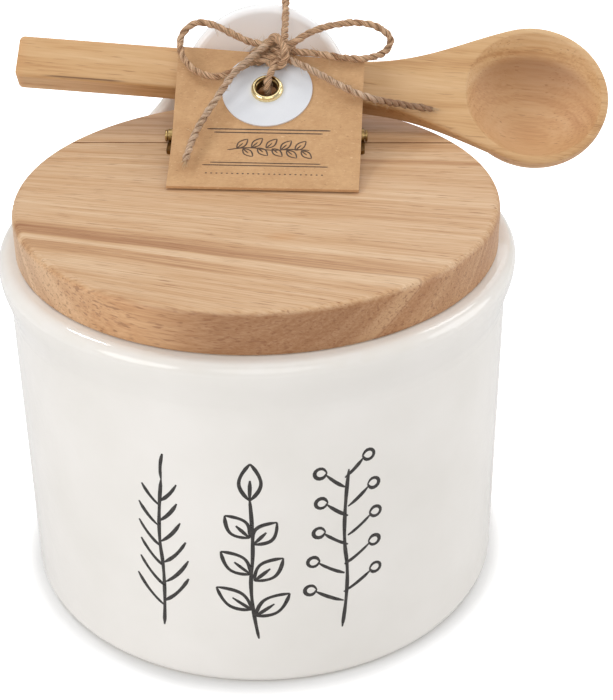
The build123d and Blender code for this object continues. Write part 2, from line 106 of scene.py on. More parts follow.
# On the card, as above; the last of them hide the hole behind the knot.
KNOT_STRANDS = [
    ((0.6, 34.5, 1.2), (1.9, 33.6, 2.5), (2.8, 34.5, 3.7), (2.7, 36.4, 4.3), (1.8, 38.3, 4.5),
     (0.4, 39.6, 4.3), (-0.6, 39.0, 4.0), (-2.2, 37.2, 4.0)),
    ((-3.8, 35.0, 1.5), (-1.6, 35.6, 2.0), (0.8, 36.6, 2.4), (3.7, 37.7, 2.1)),
    ((-0.7, 38.5, 1.8), (-1.1, 40.2, 2.4), (-0.4, 41.4, 2.8), (0.9, 41.6, 2.6), (1.8, 40.1, 2.2)),
    ((-1.8, 37.4, 1.3), (-0.7, 34.8, 1.7), (0.9, 33.8, 1.4), (2.3, 35.6, 1.0)),
    ((-0.8, 37.6, 2.2), (0.9, 38.2, 2.8), (3.5, 38.9, 3.0), (4.8, 39.8, 3.3)),
    ((-0.8, 36.5, 1.5), (1.4, 36.3, 1.9), (3.6, 35.7, 2.0), (5.0, 35.0, 2.1)),
    ((-4.9, 34.8, 1.7), (-3.9, 35.9, 2.0), (-2.7, 37.1, 2.3), (-1.4, 38.3, 2.4), (0.0, 39.6, 2.3)),
    ((-5.4, 36.3, 1.6), (-4.0, 37.9, 1.9), (-2.7, 39.3, 2.1), (-1.5, 40.4, 2.2), (-0.2, 40.9, 2.0)),
    ((-3.0, 36.2, 1.4), (-1.2, 37.4, 1.6), (0.8, 38.4, 1.8)),
]
BACK_KNOT_STRANDS = [
    ((2.4, 56.0, 97.9), (4.1, 57.4, 97.0), (4.2, 58.2, 95.2), (2.7, 58.3, 93.5), (1.0, 57.5, 93.8),
     (0.9, 56.6, 95.6), (2.2, 56.6, 97.0)),
    ((2.4, 56.2, 93.6), (1.2, 57.4, 95.0), (2.3, 58.3, 96.6), (4.0, 57.5, 96.4), (4.3, 56.6, 94.6),
     (3.0, 56.2, 93.4)),
    ((2.0, 57.0, 94.2), (1.7, 57.3, 91.8), (2.0, 56.9, 89.4), (1.6, 56.5, 87.4)),
]


# ---------------------------------------------------------------- camera
IMAGE_W = 613
IMAGE_H = 700
FOCAL_PX = 1586.0
CENTRE_PX = (304.8, 349.4)
CAMERA_AT = Vector((17.6, -296.3, 227.6)) * MM
CAMERA_YAW = math.radians(-1.54)
CAMERA_PITCH = math.radians(30.98)
CAMERA_ROLL = math.radians(-0.57)
SENSOR = 36.0
CLIP_START = 0.01


def add_camera():
    data = bpy.data.cameras.new("camera")
    data.sensor_width = SENSOR
    data.lens = FOCAL_PX / IMAGE_H * SENSOR
    data.shift_x = (IMAGE_W / 2 - CENTRE_PX[0]) / IMAGE_H
    data.shift_y = (CENTRE_PX[1] - IMAGE_H / 2) / IMAGE_H
    data.clip_start = CLIP_START
    level = math.cos(CAMERA_PITCH)
    ahead = Vector((
        math.sin(CAMERA_YAW) * level, math.cos(CAMERA_YAW) * level, -math.sin(CAMERA_PITCH),
    ))
    right = ahead.cross(Vector((0, 0, 1))).normalized()
    up = right.cross(ahead)
    across = right * math.cos(CAMERA_ROLL) + up * math.sin(CAMERA_ROLL)
    above = up * math.cos(CAMERA_ROLL) - right * math.sin(CAMERA_ROLL)
    camera = bpy.data.objects.new("camera", data)
    turn = Matrix((across, above, -ahead)).transposed().to_4x4()
    camera.matrix_world = Matrix.Translation(CAMERA_AT) @ turn
    bpy.context.scene.collection.objects.link(camera)
    bpy.context.scene.camera = camera


# ---------------------------------------------------------------- node helper
class Amount:
    """A number that varies over a surface. Plain arithmetic on it adds nodes."""

    def __init__(self, shade, socket):
        self.shade = shade
        self.socket = socket

    def __add__(self, other):
        return self.shade.math("ADD", self, other)

    def __sub__(self, other):
        return self.shade.math("SUBTRACT", self, other)

    def __mul__(self, other):
        return self.shade.math("MULTIPLY", self, other)

    def __truediv__(self, other):
        return self.shade.math("DIVIDE", self, other)

    def __pow__(self, other):
        return self.shade.math("POWER", self, other)

    def inverse(self):
        return self.shade.math("SUBTRACT", 1.0, self)

    def size(self):
        return self.shade.math("ABSOLUTE", self)

    def wave(self):
        return self.shade.math("SINE", self)

    def fit(self, low, high, new_low=0.0, new_high=1.0, smooth=False):
        return self.shade.fit(self, low, high, new_low, new_high, smooth)

    def near(self, middle, half, soft):
        """1 within half of a middle value, falling to 0 over the soft distance."""
        return (self - middle).size().fit(half, half + soft, 1.0, 0.0, smooth=True)


class Shade:
    """A short way to write a material's nodes."""

    def __init__(self, name):
        self.material = bpy.data.materials.new(name)
        self.material.use_nodes = True
        self.tree = self.material.node_tree
        self.tree.nodes.clear()
        self.out = self.tree.nodes.new("ShaderNodeOutputMaterial")

    def put(self, socket, value):
        if isinstance(value, Amount):
            value = value.socket
        if isinstance(value, bpy.types.NodeSocket):
            self.tree.links.new(value, socket)
        else:
            socket.default_value = value

    def node(self, kind, **inputs):
        made = self.tree.nodes.new(kind)
        for name, value in inputs.items():
            self.put(made.inputs[name.replace("_", " ")], value)
        return made

    def place(self):
        """The place on the object at rest, in millimetres of the shared frame."""
        made = self.tree.nodes.new("ShaderNodeVectorMath")
        made.operation = "SCALE"
        self.put(made.inputs[0], self.node("ShaderNodeTexCoord").outputs["Object"])
        made.inputs["Scale"].default_value = 1 / MM
        return made.outputs[0]

    def normal(self):
        """The surface's own direction, which turns with the object."""
        return self.node("ShaderNodeTexCoord").outputs["Normal"]

    def axes(self, vector):
        split = self.node("ShaderNodeSeparateXYZ", Vector=vector)
        return [Amount(self, socket) for socket in split.outputs]

    def along(self):
        """How far along a strand in millimetres, and which part of the way round it."""
        made = self.tree.nodes.new("ShaderNodeUVMap")
        made.uv_map = "along"
        return self.axes(made.outputs[0])[:2]

    def math(self, operation, a, b=0.0):
        made = self.tree.nodes.new("ShaderNodeMath")
        made.operation = operation
        for socket, value in zip(made.inputs, (a, b)):
            self.put(socket, value)
        return Amount(self, made.outputs[0])

    def dot(self, vector, direction):
        made = self.tree.nodes.new("ShaderNodeVectorMath")
        made.operation = "DOT_PRODUCT"
        self.put(made.inputs[0], vector)
        self.put(made.inputs[1], direction)
        return Amount(self, made.outputs["Value"])

    def join(self, x, y, z=0.0):
        made = self.tree.nodes.new("ShaderNodeCombineXYZ")
        for socket, value in zip(made.inputs, (x, y, z)):
            self.put(socket, value)
        return made.outputs[0]

    def noise(self, vector, scale=1.0, detail=3.0, roughness=0.5, distortion=0.0):
        made = self.node("ShaderNodeTexNoise", Vector=vector, Scale=scale, Detail=detail)
        self.put(made.inputs["Roughness"], roughness)
        self.put(made.inputs["Distortion"], distortion)
        return Amount(self, made.outputs["Fac"])

    def grain(self, axes, often, **how):
        """Noise that is drawn out: how often it changes along each axis is given."""
        return self.noise(self.join(*[axis * k for axis, k in zip(axes, often)]), **how)

    def fit(self, value, low, high, new_low=0.0, new_high=1.0, smooth=False):
        made = self.tree.nodes.new("ShaderNodeMapRange")
        if smooth:
            made.interpolation_type = "SMOOTHSTEP"
        for socket, number in zip(made.inputs, (value, low, high, new_low, new_high)):
            self.put(socket, number)
        return Amount(self, made.outputs[0])

    def mix(self, factor, a, b):
        """Colour a at a factor of 0 and b at 1."""
        made = self.tree.nodes.new("ShaderNodeMix")
        made.data_type = "RGBA"
        self.put(made.inputs[0], factor)
        self.put(made.inputs[6], a)
        self.put(made.inputs[7], b)
        return made.outputs[2]

    def bump(self, height, strength, distance, normal=None):
        made = self.node("ShaderNodeBump", Height=height, Strength=strength, Distance=distance)
        if normal:
            self.put(made.inputs["Normal"], normal)
        return made.outputs[0]

    def finish(self, **inputs):
        shader = self.node("ShaderNodeBsdfPrincipled", **inputs)
        self.tree.links.new(shader.outputs[0], self.out.inputs[0])
        return self.material


def srgb(r, g, b):
    """A shader's colour from one written in screen values of 0 to 255."""
    def linear(v):
        v /= 255
        return v / 12.92 if v <= 0.04045 else ((v + 0.055) / 1.055) ** 2.4

    return (linear(r), linear(g), linear(b), 1.0)


# ---------------------------------------------------------------- materials
THIN_GLAZE_Z = RIM_Z - 0.8
# The heights over which painted light whitens the glaze up the tab, in millimetres.
PAINTED_LIGHT_FROM_TO_Z = (80.0, 104.0)
BARE_FOOT_Z = (0.25, 0.6)


def glaze():
    """White glaze that pools softly: thin at the rim, with painted light whitening it up the tab,
    bare at the foot.
    """
    s = Shade("white_glaze")
    at = s.place()
    x, y, z = s.axes(at)
    pale, dim, painted_light_white, thinned = (
        srgb(241, 237, 232), srgb(236, 232, 226), srgb(252, 251, 251), srgb(232, 225, 214),
    )
    clay, dark_clay = srgb(226, 216, 198), srgb(206, 194, 174)
    swell = s.grain((x, y, z), (0.03, 0.03, 0.05), detail=1.0)
    peel = s.noise(at, scale=0.55, detail=2.0)
    cloud = s.noise(at, scale=0.05, detail=3.0)
    grit = s.noise(at, scale=3.0, detail=4.0)
    colour = s.mix(cloud.fit(0.35, 0.7), pale, dim)
    # Painted light: the glaze grows whiter upwards, towards the tab.
    colour = s.mix(z.fit(*PAINTED_LIGHT_FROM_TO_Z, smooth=True), colour, painted_light_white)
    thin = z.near(THIN_GLAZE_Z, 0.5, 1.2) * s.noise(at, scale=0.25, detail=2.0).fit(0.35, 0.75)
    colour = s.mix(thin * 0.35, colour, thinned)
    bare = z.fit(*BARE_FOOT_Z, 1.0, 0.0, smooth=True)
    colour = s.mix(bare, colour, s.mix(grit, clay, dark_clay))
    bump = s.bump(swell, 0.2, 0.0008)
    bump = s.bump(peel, 0.05, 0.0004, bump)
    bump = s.bump(grit * bare, 0.3, 0.0002, bump)
    return s.finish(Base_Color=colour, Roughness=bare * 0.65 + 0.07, IOR=1.5, Normal=bump)


# The lid's layers are numbered by how far back they come up at its top, in millimetres.
LID_SLANT = 0.149
LID_FAN = 0.0035
LID_DIP = 0.9
# Each band: its layer, half its width and its soft edge; then where its strength runs
# from and to across the lid, and the strength at both.
LID_BANDS = [
    (-27.4, 0.7, 3.2, -48.0, 44.0, 0.42, 0.16),
    (-24.0, 0.5, 2.4, -46.0, 0.0, 0.16, 0.0),
    (18.2, 0.1, 1.4, 8.0, 26.0, 0.0, 0.36),
    (-35.0, 0.8, 2.6, -30.0, 14.0, 0.3, 0.0),
]
LID_PALE_BAND = (-31.0, 0.7, 1.7)
LID_LINE = (-29.35, 0.08, 0.22)
LID_MARK_AT = (6.0, -20.0)


def lid_wood():
    """One board whose layers dip from the back towards the front, fanning out to the left."""
    s = Shade("lid_wood")
    x, y, z = s.axes(s.place())
    pale, middle, deep = srgb(222, 190, 154), srgb(200, 157, 114), srgb(158, 106, 66)
    wall_pale, wall_deep = srgb(218, 172, 126), srgb(189, 135, 90)
    wall_front_shade, wall_left_highlight = srgb(147, 98, 60), srgb(222, 194, 160)
    pore, fleck_brown, stain = srgb(142, 90, 56), srgb(132, 82, 50), srgb(198, 138, 80)

    drop = z - LID_TOP_Z
    flat = (y + x * LID_SLANT) / (x * LID_FAN + 1.0)
    waver = s.grain((x, flat, drop), (0.02, 0.06, 0.06), detail=2.0) - 0.5
    layer = flat - drop * LID_DIP + waver * 2.6
    across = flat + waver * 2.6
    broad = s.grain((x, layer), (0.007, 0.11), detail=2.0)
    streak = s.grain((x, layer, drop), (0.016, 0.55, 0.05), detail=4.0, roughness=0.6)
    thread = s.grain((x, across, drop), (0.05, 2.4, 2.4), detail=3.0, roughness=0.6)
    pores = s.grain((x, across, drop), (0.17, 3.4, 3.4), detail=1.5)
    dense = s.grain((x, layer, drop), (0.03, 0.25, 0.1), detail=1.0)
    flecks = s.grain((x, across, drop), (0.3, 1.7, 1.7), detail=1.0)

    tone = broad * 0.6 + streak * 0.8 + thread * 0.85 - 0.625
    for middle_layer, half, soft, *along in LID_BANDS:
        tone = tone + layer.near(middle_layer, half, soft) * x.fit(*along)
    tone = tone - layer.near(*LID_PALE_BAND) * 0.2
    colour = s.mix(tone.fit(0.24, 0.62), pale, middle)
    colour = s.mix(tone.fit(0.6, 1.05), colour, deep)

    # the side wall: painted shade darkens its front, and less its right, and a painted highlight
    # lightens its left
    normal = s.normal()
    side = s.dot(normal, (0, 0, 1)).size().fit(0.35, 0.8, 1.0, 0.0)
    facing = s.axes(normal)[0]
    # Where painted shade falls on the wall: fully at the front, half on the right.
    front = facing.fit(-0.45, -0.05, smooth=True)
    front = front * facing.fit(0.3, 0.62, 1.0, 0.5, smooth=True)
    wall = s.mix(tone.fit(0.3, 0.8), wall_pale, wall_deep)
    wall = s.mix(front * tone.fit(0.2, 0.7, 0.7, 1.0), wall, wall_front_shade)
    # Painted highlight on the left of the wall.
    wall = s.mix(facing.fit(-0.55, -0.9, 0.0, 0.5), wall, wall_left_highlight)
    colour = s.mix(side * 0.85, colour, wall)

    line = layer.near(*LID_LINE) * 0.35
    dark = pores.fit(0.61, 0.69) * dense.fit(0.35, 0.6, 0.35, 1.0)
    colour = s.mix(dark * 0.66 + line, colour, pore)
    colour = s.mix(flecks.fit(0.6, 0.7) * side * 0.5, colour, fleck_brown)
    mark_x, mark_y = x - LID_MARK_AT[0], y - LID_MARK_AT[1]
    mark = (mark_x * mark_x + mark_y * mark_y * 3.0).fit(0.2, 14.0, 0.34, 0.0)
    colour = s.mix(mark * side.inverse(), colour, stain)
    bump = s.bump(thread * 0.5 + dark.inverse() * 0.5, 0.35, 0.00012)
    return s.finish(Base_Color=colour, Roughness=(streak * 0.14 + dark * 0.2) + 0.42, Normal=bump)


def spoon_axes():
    """The directions along the spoon, across its bowl and out of the bowl."""
    along = Vector((
        math.cos(SPOON_YAW) * math.cos(SPOON_SLOPE), math.sin(SPOON_YAW) * math.cos(SPOON_SLOPE),
        -math.sin(SPOON_SLOPE),
    ))
    face = Vector((0, -math.sin(SPOON_LEAN), math.cos(SPOON_LEAN)))
    face = (face - along * face.dot(along)).normalized()
    return along, face.cross(along), face


SPLIT_V = -4.55
SPLIT_U = (15.5, 5.5, 5.0)
HANDLE_EDGE_V = 4.6
BOWL_SQUARED_FROM_TO = (185.0, 245.0)


def spoon_wood():
    """Pale close wood with short dark pores, cut across its layers by the bowl, with painted shade
    in the bowl's upper part.
    """
    s = Shade("spoon_wood")
    at = s.place()
    u, v, t = [s.dot(at, tuple(axis)) - SPOON_AT.dot(axis) / MM for axis in spoon_axes()]
    pale, middle, deep = srgb(219, 182, 137), srgb(204, 160, 110), srgb(176, 126, 78)
    bowl_brown, bowl_painted_shade, edge = srgb(202, 148, 108), srgb(148, 102, 62), srgb(206, 146, 92)
    pore, crack = srgb(146, 98, 58), srgb(96, 62, 34)

    waver = s.grain((u, v, t), (0.018, 0.07, 0.1), detail=2.0) - 0.5
    split = (v - SPLIT_V).size().fit(0.06, 0.26, 0.8, 0.0) * u.near(*SPLIT_U) * t.fit(-1.3, -0.9)
    painted_shade_up = v.fit(-3.0, 13.0, 0.0, 0.8, smooth=True)
    v = v + u * 0.03 + waver * 3.0
    layer = v * 0.45 + t * 0.9 + waver * 2.0
    broad = s.grain((u, layer), (0.01, 0.18), detail=2.0)
    streak = s.grain((u, layer, v), (0.03, 0.9, 0.1), detail=3.0, roughness=0.6)
    thread = s.grain((u, v, t), (0.07, 2.2, 2.2), detail=3.0, roughness=0.6)
    pores = s.grain((u, v, t), (0.15, 2.8, 2.8), detail=1.5)
    crowd = s.grain((u, v, t), (0.05, 0.3, 0.3), detail=1.0)

    tone = broad * 0.8 + streak * 0.75 + thread * 0.6 - 0.57
    colour = s.mix(tone.fit(0.22, 0.6), pale, middle)
    colour = s.mix(tone.fit(0.56, 0.9), colour, deep)
    from_bowl = u - BOWL_U
    bowl = (from_bowl * from_bowl + v * v).fit(*BOWL_SQUARED_FROM_TO, 1.0, 0.0, smooth=True)
    bowl = bowl * t.fit(-0.8, -0.2, 1.0, 0.0)
    colour = s.mix(bowl * 0.3, colour, bowl_brown)
    # Painted shade in the bowl, darker towards its upper side.
    colour = s.mix(bowl * painted_shade_up, colour, bowl_painted_shade)
    end = u.fit(0.0, 2.4, 1.0, 0.0) * 0.3
    rim = (v.size() - HANDLE_EDGE_V).fit(-0.5, 0.2, 0.0, 0.24) * u.fit(60.0, 75.0, 1.0, 0.0)
    colour = s.mix(end + rim, colour, edge)
    dark = pores.fit(0.62, 0.7) * crowd.fit(0.4, 0.6, 0.2, 1.0)
    colour = s.mix(dark * 0.55, colour, pore)
    colour = s.mix(split, colour, crack)
    bump = s.bump(thread * 0.4 + dark.inverse() * 0.6, 0.3, 0.00012)
    return s.finish(Base_Color=colour, Roughness=(streak * 0.12 + dark * 0.15) + 0.46, Normal=bump)


def kraft():
    """Unbleached card: long fibres, small dark and pale bits, soft mottling."""
    s = Shade("kraft_card")
    at = s.place()
    axes = s.axes(at)
    pale, brown = srgb(212, 171, 126), srgb(182, 137, 93)
    dark_bit, pale_bit = srgb(140, 98, 60), srgb(238, 208, 170)
    mottle = s.noise(at, scale=0.16, detail=4.0, roughness=0.6)
    cloudy = s.noise(at, scale=0.9, detail=4.0, roughness=0.7)
    fibre = s.grain(axes, (0.8, 3.6, 3.6), detail=3.0, roughness=0.65, distortion=1.2)
    bits = s.grain(axes, (1.3, 3.2, 3.2), detail=1.0, distortion=0.6)
    tone = mottle * 0.5 + cloudy * 0.3 + fibre * 0.35 - 0.07
    colour = s.mix(tone.fit(0.3, 0.72), pale, brown)
    colour = s.mix(bits.fit(0.69, 0.76) * 0.5, colour, dark_bit)
    colour = s.mix(bits.fit(0.31, 0.24) * 0.4, colour, pale_bit)
    return s.finish(Base_Color=colour, Roughness=0.82, Normal=s.bump(fibre, 0.25, 0.00012))


def disc_paper():
    """White paper with a fine tooth."""
    s = Shade("white_paper")
    at = s.place()
    pale, dim, tooth_grey = srgb(225, 227, 231), srgb(218, 220, 225), srgb(205, 207, 212)
    tooth = s.noise(at, scale=3.0, detail=4.0, roughness=0.65)
    cloud = s.noise(at, scale=0.12, detail=2.0)
    colour = s.mix(cloud.fit(0.35, 0.7), pale, dim)
    colour = s.mix(tooth.fit(0.4, 0.75) * 0.15, colour, tooth_grey)
    return s.finish(Base_Color=colour, Roughness=0.55, Normal=s.bump(tooth, 0.12, 0.0001))


THROAT_R = (2.25, 2.55)
CREASE_R = 2.86


def eyelet_brass():
    """Bright rolled brass with painted shade in the crease of its flange, close to the card and
    down in its throat, which is also dull.
    """
    s = Shade("brass_eyelet")
    at = s.place()
    bright, golden = srgb(252, 236, 188), srgb(238, 208, 138)
    crease_painted_shade, throat_painted_shade = srgb(84, 54, 18), srgb(84, 52, 16)
    middle = on_card(DISC_X, DISC_S, 0.0)
    out = Vector((0, -math.sin(CARD_HIGH), math.cos(CARD_HIGH)))
    out = Matrix.Rotation(TAG_YAW, 3, "Z") @ out
    depth = s.dot(at, tuple(out)) - middle.dot(out)
    away = s.node("ShaderNodeVectorMath", Vector=at)
    away.operation = "DISTANCE"
    away.inputs[1].default_value = tuple(middle)
    ring = Amount(s, away.outputs["Value"])
    throat = ring.fit(*THROAT_R, 1.0, 0.0, smooth=True)
    scuff = s.noise(at, scale=2.4, detail=4.0, roughness=0.7)
    colour = s.mix(scuff.fit(0.4, 0.7), bright, golden)
    # Painted shade in the flange's crease and where the brass sits low by the card.
    crease = ring.near(CREASE_R, 0.1, 0.16) * 0.9 + depth.fit(0.5, 0.3, 0.0, 0.35)
    colour = s.mix(crease, colour, crease_painted_shade)
    # Painted shade down in the throat.
    colour = s.mix(throat * 0.9, colour, throat_painted_shade)
    return s.finish(
        Base_Color=colour, Metallic=1.0, Roughness=throat * 0.3 + scuff * 0.16 + 0.1,
        Normal=s.bump(scuff, 0.08, 0.0001),
    )


# How far above the lid the hinge's paler metal starts and is full.
PALER_ABOVE_LID = (0.5, 3.1)


def hinge_brass():
    """Antique brass: brown lacquer, darkened as painted shade for the dark it reflects, growing
    paler towards bright metal in clouds and higher above the lid.
    """
    s = Shade("brass_hinge")
    at = s.place()
    axes = s.axes(at)
    lacquer_and_shade, pale_lacquer_and_shade, metal = srgb(92, 66, 32), srgb(136, 103, 54), srgb(232, 202, 142)
    cloud = s.noise(at, scale=0.5, detail=4.0, roughness=0.7)
    brushed = s.grain(axes, (0.8, 6.0, 6.0), detail=2.0)
    low, high = (LID_TOP_Z + up for up in PALER_ABOVE_LID)
    paler_metal = (cloud + axes[2].fit(low, high, 0.0, 0.32)).fit(0.55, 0.85)
    # Brown lacquer: partly the brass's own colour, partly painted shade for the dark it reflects.
    colour = s.mix(cloud, lacquer_and_shade, pale_lacquer_and_shade)
    colour = s.mix(paler_metal * 0.55, colour, metal)
    return s.finish(
        Base_Color=colour, Metallic=1.0, Roughness=cloud * 0.2 + 0.22,
        Normal=s.bump(brushed, 0.12, 0.0001),
    )


def screw_brass():
    """Plain brass, scuffed by the driver."""
    s = Shade("brass_screw")
    scuff = s.noise(s.place(), scale=2.2, detail=4.0, roughness=0.7)
    colour = s.mix(scuff.fit(0.35, 0.7), srgb(206, 168, 96), srgb(150, 112, 54))
    return s.finish(
        Base_Color=colour, Metallic=1.0, Roughness=scuff * 0.25 + 0.2,
        Normal=s.bump(scuff, 0.1, 0.0001),
    )


PLIES = 2
# How far along a strand painted shade starts (never, unless given) and how far it takes to grow
# full.
NEVER_SHADED = 1000.0
SHADE_OVER = 8.0


def jute(name, pale, middle, deep, shade_from=NEVER_SHADED):
    """Twisted plant fibre, read along the strand, with painted shade in the grooves between its
    plies, that may darken with painted shade from some way along it.
    """
    s = Shade(name)
    u, v = s.along()
    turn = v * (2 * math.pi)
    round_x = turn.wave()
    round_y = (turn + math.pi / 2).wave()
    place = round_x, round_y, u
    streak = s.grain(place, (3.4, 3.4, 0.5), detail=3.0, roughness=0.7)
    hair = s.grain(place, (9.0, 9.0, 0.7), detail=2.0, roughness=0.7)
    patch = s.grain(place, (0.5, 0.5, 0.22), detail=2.0)
    tone = (streak - 0.5) * 2.4 + (hair - 0.5) * 3.0 + (patch - 0.5) * 1.6 + 0.42
    colour = s.mix(tone.fit(0.1, 0.5), pale, middle)
    colour = s.mix(tone.fit(0.5, 0.9), colour, deep)
    # Painted shade that darkens the strand from some way along it.
    colour = s.mix(u.fit(shade_from, shade_from + SHADE_OVER, 0.0, 0.7), colour, deep)
    # Painted shade in the grooves between the plies.
    valley_shade = (turn * (PLIES / 2)).wave().size().fit(0.0, 0.42, 0.6, 0.0, smooth=True)
    colour = s.mix(valley_shade, colour, srgb(112, 76, 46))
    bump = s.bump(hair * 0.6 + streak * 0.6, 1.0, 0.0005)
    return s.finish(Base_Color=colour, Roughness=0.88, Normal=bump)


def fuzz_fibre():
    """Single pale fibres."""
    s = Shade("fuzz")
    tint = s.noise(s.place(), scale=0.8, detail=2.0)
    colour = s.mix(tint, srgb(226, 202, 166), srgb(184, 150, 110))
    return s.finish(Base_Color=colour, Roughness=0.8)


def ink(name, full, thin):
    """Brushed ink that is a little thinner in places."""
    s = Shade(name)
    brush = s.noise(s.place(), scale=1.1, detail=3.0, roughness=0.6)
    return s.finish(
        Base_Color=s.mix(brush.fit(0.5, 0.8), full, thin), Roughness=brush * 0.2 + 0.2,
        Normal=s.bump(brush, 0.1, 0.0001),
    )


def paint(material, *names):
    for name in names:
        nodes[name].data.materials.clear()
        nodes[name].data.materials.append(material)


# ---------------------------------------------------------------- tag coordinates
def card_point(up):
    """How far back and up the card's face is, and its slope, at some millimetres up the card."""
    radius = CARD_CURL / (CARD_HIGH - CARD_LOW)
    flat = min(up, CARD_FLAT)
    curl = min(max(up - CARD_FLAT, 0), CARD_CURL)
    rest = max(up - CARD_FLAT - CARD_CURL, 0)
    slope = CARD_LOW + curl / radius
    back = flat * math.cos(CARD_LOW) + rest * math.cos(slope)
    back += radius * (math.sin(slope) - math.sin(CARD_LOW))
    rise = flat * math.sin(CARD_LOW) + rest * math.sin(slope)
    rise += radius * (math.cos(CARD_LOW) - math.cos(slope))
    return back, rise, slope


def on_card(across, up, out):
    """A point in millimetres, given across the card, up it and out from its face."""
    back, rise, slope = card_point(up)
    local = Vector((across, back - out * math.sin(slope), rise + out * math.cos(slope)))
    return TAG_AT / MM + Matrix.Rotation(TAG_YAW, 3, "Z") @ local


# ---------------------------------------------------------------- meshes
def new_piece(name, verts, faces, material, body, smooth=True):
    """A piece that rides on a body, or on none if no body is given."""
    mesh = bpy.data.meshes.new(name)
    mesh.from_pydata(verts, [], faces)
    mesh.materials.append(material)
    if smooth:
        mesh.shade_smooth()
    piece = bpy.data.objects.new(name, mesh)
    bpy.context.scene.collection.objects.link(piece)
    if body:
        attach(piece, body)
    return piece


ROUTE_STEPS = 14
STROKE_STEPS = 8


def smooth_line(name, route, steps=ROUTE_STEPS):
    """The points of the smooth line that a route's points control, in metres."""
    data = bpy.data.curves.new(name, "CURVE")
    data.dimensions = "3D"
    data.resolution_u = steps
    spline = data.splines.new("NURBS")
    spline.points.add(len(route) - 1)
    for point, place in zip(spline.points, route):
        point.co = (*[x * MM for x in place], 1)
    spline.order_u = 3
    spline.use_endpoint_u = True
    guide = bpy.data.objects.new(name, data)
    line = bpy.data.meshes.new_from_object(guide)
    points = [v.co.copy() for v in line.vertices]
    bpy.data.objects.remove(guide)
    bpy.data.meshes.remove(line)
    bpy.data.curves.remove(data)
    return points


def length_of(line):
    return sum((b - a).length for a, b in zip(line, line[1:]))


def respaced(points, step):
    """The same line with its points an even step apart."""
    far = [0.0]
    for a, b in zip(points, points[1:]):
        far.append(far[-1] + (b - a).length)
    count = max(2, round(far[-1] / step))
    spaced = []
    i = 0
    for k in range(count + 1):
        at = far[-1] * k / count
        while i < len(far) - 2 and far[i + 1] < at:
            i += 1
        share = (at - far[i]) / max(far[i + 1] - far[i], 1e-12)
        spaced.append(points[i].lerp(points[i + 1], min(max(share, 0), 1)))
    return spaced


def carried_frames(points):
    """Two cross directions and the direction ahead at each point, carried along without twist."""
    frames = []
    ahead = (points[1] - points[0]).normalized()
    side = ahead.orthogonal().normalized()
    for i in range(len(points)):
        turned = (points[min(i + 1, len(points) - 1)] - points[max(i - 1, 0)]).normalized()
        side = (ahead.rotation_difference(turned) @ side).normalized()
        side = (side - turned * side.dot(turned)).normalized()
        ahead = turned
        frames.append((side, turned.cross(side), turned))
    return frames


# ---------------------------------------------------------------- twine
GROOVE = 0.45
SIDES = 24
RING_STEP = 0.16
STRAND_R = 0.78
PITCH = 4.4
SWELL = 0.03
SWELL_EVERY = (2, 9)
LUMP = 0.07
LUMP_EVERY = 2.3
LUMP_SHIFT = 3.1
FIBRE_SIDES = 3
FIBRE_KNOTS = 5
FIBRE_TAPER = 0.7
# The fibres that stand off a strand: the strand's radius and how deep they root in it,
# how far they lean along it, and their own length, radius and curl.
FUZZ_STEP = 0.4
FUZZ_STRAND_R = 0.84
FUZZ_ROOT = 0.8
FUZZ_LEAN = (0.6, 2.2)
FUZZ_REACH = (0.6, 2.2)
FUZZ_R = (0.03, 0.055)
FUZZ_CURL = (0.05, 0.3)
# The fibres of a cut end: how far from its middle and behind it they start.
FRAY_ROOT_R = 0.4
FRAY_BACK = (0.4, 1.2)
FRAY_R = (0.07, 0.12)
FRAY_CURL = (0.0, 0.08)
ANY_PHASE = (0, 6.3)


